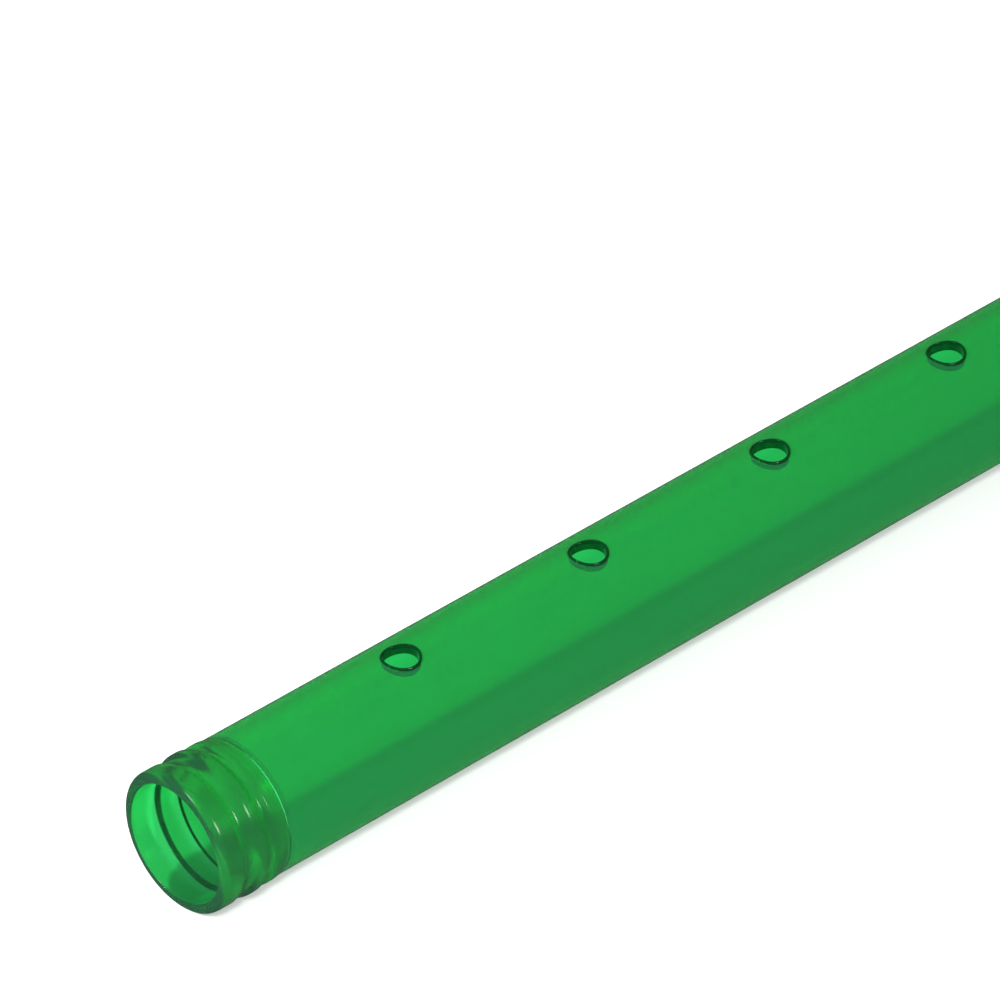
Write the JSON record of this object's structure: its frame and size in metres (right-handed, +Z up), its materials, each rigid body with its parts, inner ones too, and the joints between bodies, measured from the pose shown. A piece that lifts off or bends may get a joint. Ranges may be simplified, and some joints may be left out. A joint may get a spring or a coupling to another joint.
{
  "type": "tree guard tube",
  "caption": "Long round sleeve of clear green plastic with a row of round air vents and a grooved, beaded neck at each end, for shielding a young tree or vine.",
  "frame": {"origin": "under the middle of the tube, on the surface that it lies on", "axes": "+X along the tube, +Z up through the row of vents, +Y across"},
  "size_m": [0.736, 0.0618, 0.0618],
  "materials": {
    "clear_green_pipe": "clear green, softly glossy, faint extrusion lines",
    "clear_green_collar": "clear green, glossy, moulded",
    "clear_green_eyelet": "clear green, glossy, moulded"
  },
  "bodies": {
    "root": {"body_tube": "clear_green_pipe", "collar_near": "clear_green_collar", "collar_far": "clear_green_collar", "vent_eyelet_1": "clear_green_eyelet", "vent_eyelet_2": "clear_green_eyelet", "vent_eyelet_3": "clear_green_eyelet", "vent_eyelet_4": "clear_green_eyelet", "vent_eyelet_5": "clear_green_eyelet", "vent_eyelet_6": "clear_green_eyelet"}
  },
  "joints": []
}
